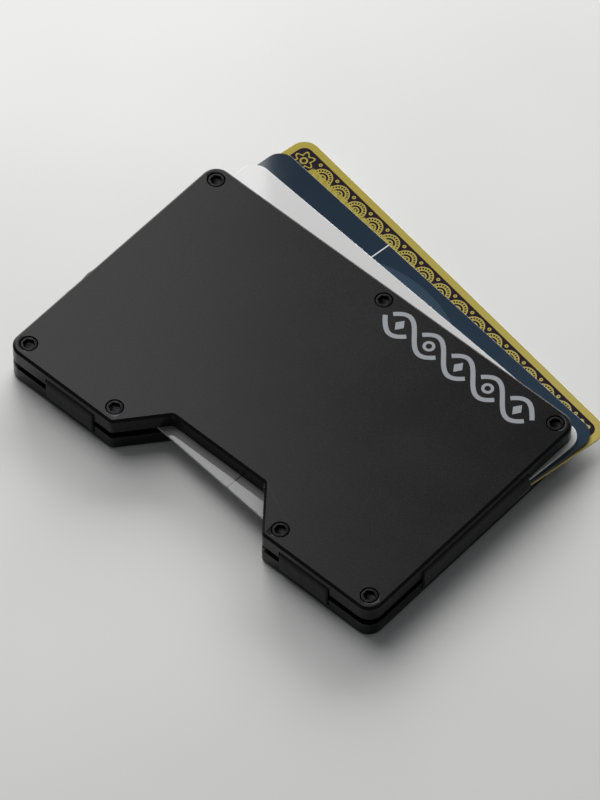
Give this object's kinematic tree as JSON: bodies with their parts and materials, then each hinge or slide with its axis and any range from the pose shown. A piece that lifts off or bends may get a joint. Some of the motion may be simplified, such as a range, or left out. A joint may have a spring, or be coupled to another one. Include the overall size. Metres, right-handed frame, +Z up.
{
  "type": "minimalist wallet",
  "caption": "Slim card wallet: notched metal covers clamped over a fan of cards by elastic edge bands, with flush hex socket screws.",
  "frame": {"origin": "middle of the lower cover's outer face", "axes": "+X along the long edge, to the right when the thumb notch faces the viewer; +Y from the thumb notch to the edge where the cards come out; +Z up through the wallet"},
  "size_m": [0.0928, 0.074, 0.0083],
  "materials": {
    "cover": "black anodised, fine bead-blasted satin",
    "inner_plate": "black anodised, brushed satin",
    "screw": "black oxide, satin",
    "elastic": "black woven elastic, matte",
    "white_card": "laminated, glossy",
    "blue_card": "laminated, glossy",
    "gold_card": "metallic print, glossy"
  },
  "bodies": {
    "bottom": {"bottom_cover": "cover", "bottom_inner_plate": "inner_plate", "bottom_rear_left_screw": "screw", "bottom_rear_middle_screw": "screw", "bottom_rear_right_screw": "screw", "bottom_front_left_screw": "screw", "bottom_notch_left_screw": "screw", "bottom_notch_right_screw": "screw", "bottom_front_right_screw": "screw", "right_band": "elastic", "left_band": "elastic", "front_right_band": "elastic", "front_left_band": "elastic"},
    "top": {"top_cover": "cover", "top_inner_plate": "inner_plate", "top_rear_left_screw": "screw", "top_rear_middle_screw": "screw", "top_rear_right_screw": "screw", "top_front_left_screw": "screw", "top_notch_left_screw": "screw", "top_notch_right_screw": "screw", "top_front_right_screw": "screw"},
    "white_card": {"white_card": "white_card"},
    "blue_card": {"blue_card": "blue_card"},
    "gold_card": {"gold_card": "gold_card"}
  },
  "joints": [
    {"name": "cover_spread", "type": "slide", "parent": "bottom", "child": "top", "axis": [0, 0, 1], "range_m": [0, 0.0075], "stiffness_N_per_m": 600, "springref_m": -0.01, "deforming": ["right_band", "left_band", "front_right_band", "front_left_band"]},
    {"name": "white_card_swing", "type": "hinge", "parent": "bottom", "child": "white_card", "pos_m": [0.0579, 0.0019, 0], "axis": [0, 0, 1], "range_deg": [0, 4.7]},
    {"name": "blue_card_swing", "type": "hinge", "parent": "bottom", "child": "blue_card", "pos_m": [0.0715, 0.0012, 0], "axis": [0, 0, 1], "range_deg": [0, 7]},
    {"name": "gold_card_swing", "type": "hinge", "parent": "bottom", "child": "gold_card", "pos_m": [0.0814, 0.0024, 0], "axis": [0, 0, 1], "range_deg": [0, 9]}
  ]
}
